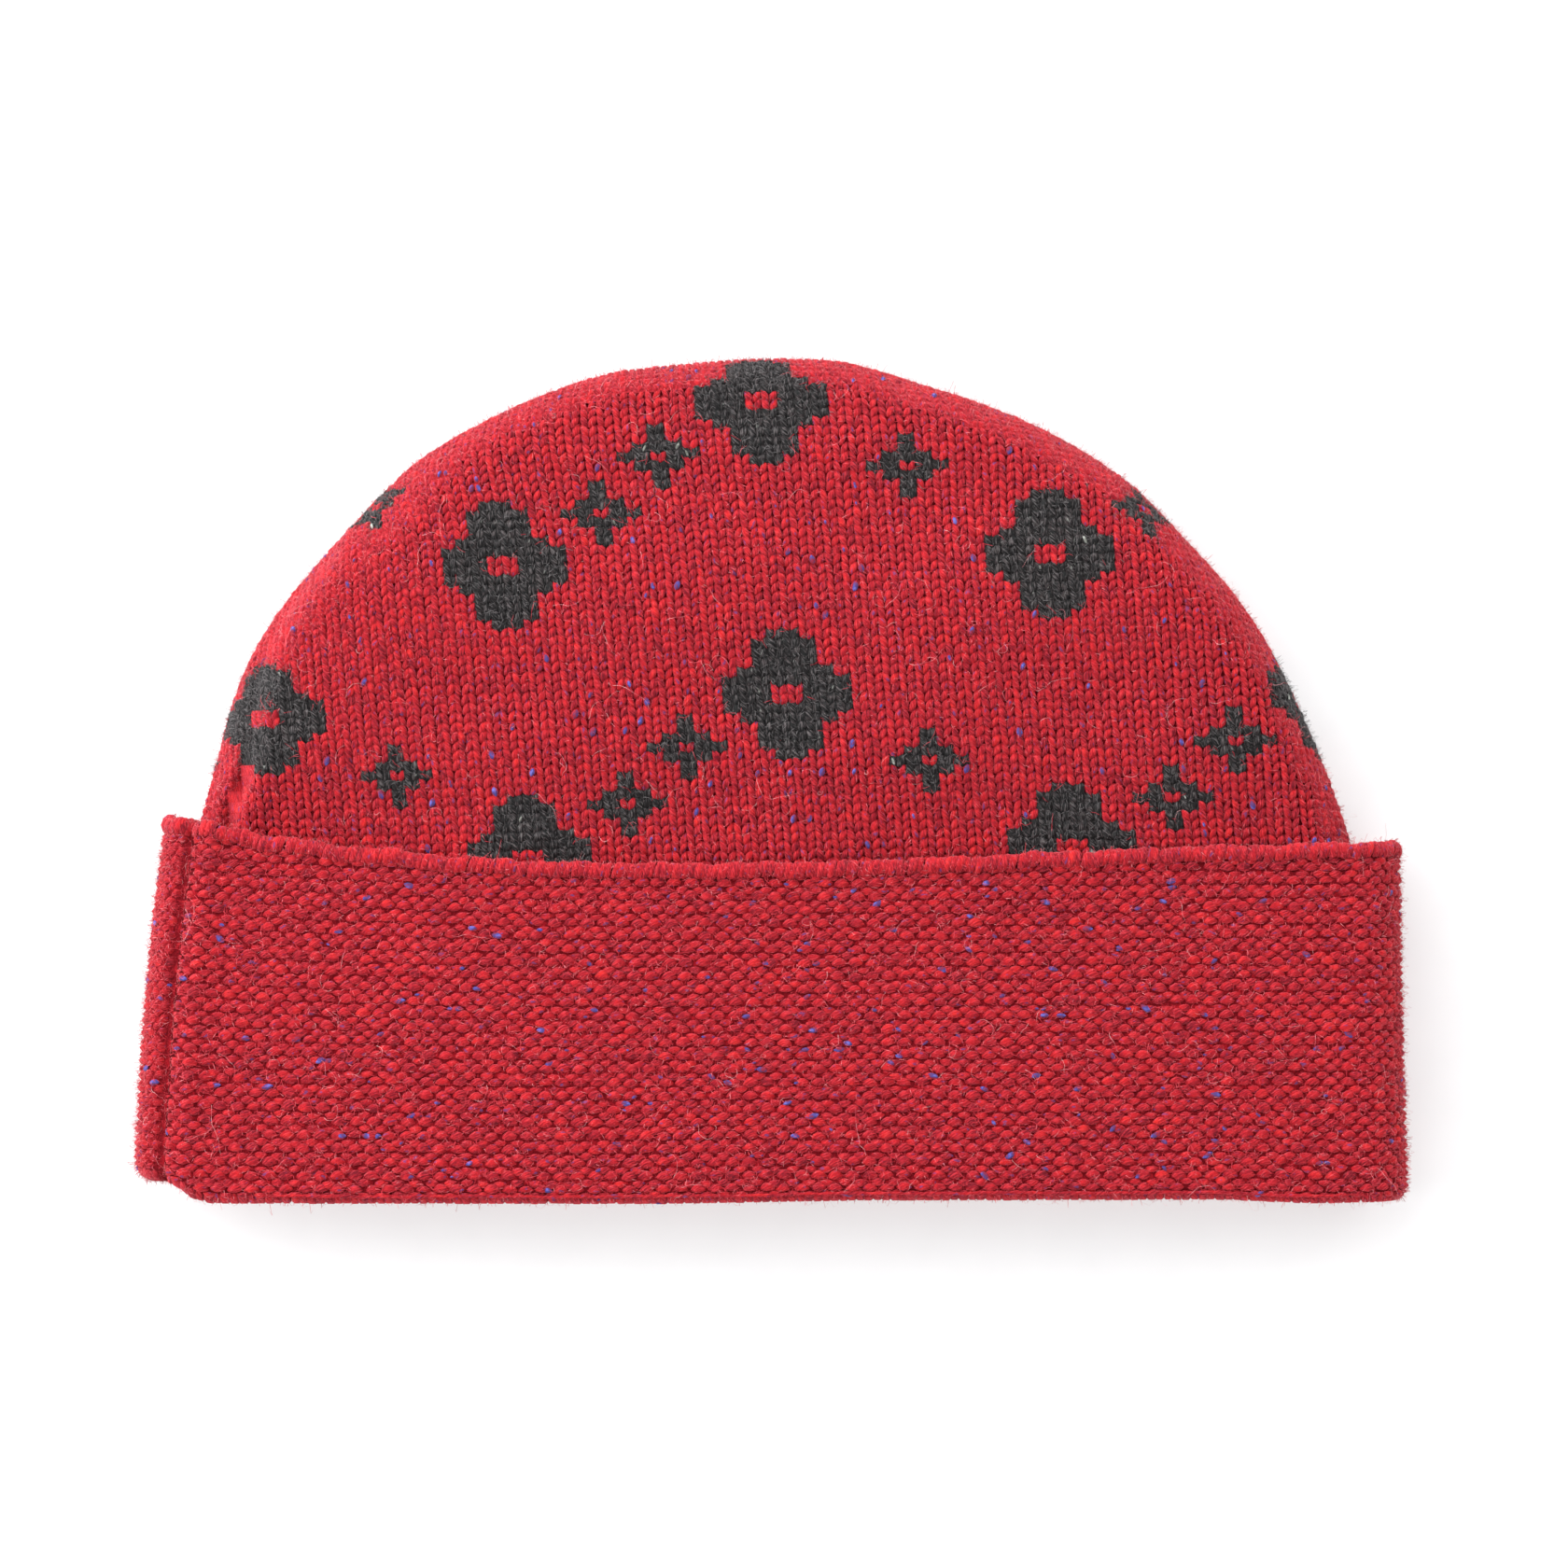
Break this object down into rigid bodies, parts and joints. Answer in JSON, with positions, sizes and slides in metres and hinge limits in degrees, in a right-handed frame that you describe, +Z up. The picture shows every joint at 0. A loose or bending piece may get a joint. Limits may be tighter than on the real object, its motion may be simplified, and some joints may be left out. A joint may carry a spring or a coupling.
{
  "type": "knit cap",
  "caption": "Soft knit cap with a domed, patterned crown and a deep turned-up cuff, lying flat; worn on the head for warmth.",
  "frame": {"origin": "centre of the cap's footprint, on the surface that it lies on", "axes": "+X across the cuff, +Y from the cuff to the top of the crown, +Z up from the surface"},
  "size_m": [0.2303, 0.1531, 0.0243],
  "materials": {
    "crown_knit": "woollen tweed yarn in plain knit, red with charcoal motifs",
    "cuff_knit": "woollen tweed yarn, purl side out, red",
    "edge_knit": "woollen tweed yarn, bound-off edge, red",
    "seam_yarn": "woollen yarn, red"
  },
  "bodies": {
    "root": {"crown": "crown_knit", "cuff": "cuff_knit", "cuff_bound_edge": "edge_knit", "cuff_seam": "seam_yarn"}
  },
  "joints": []
}
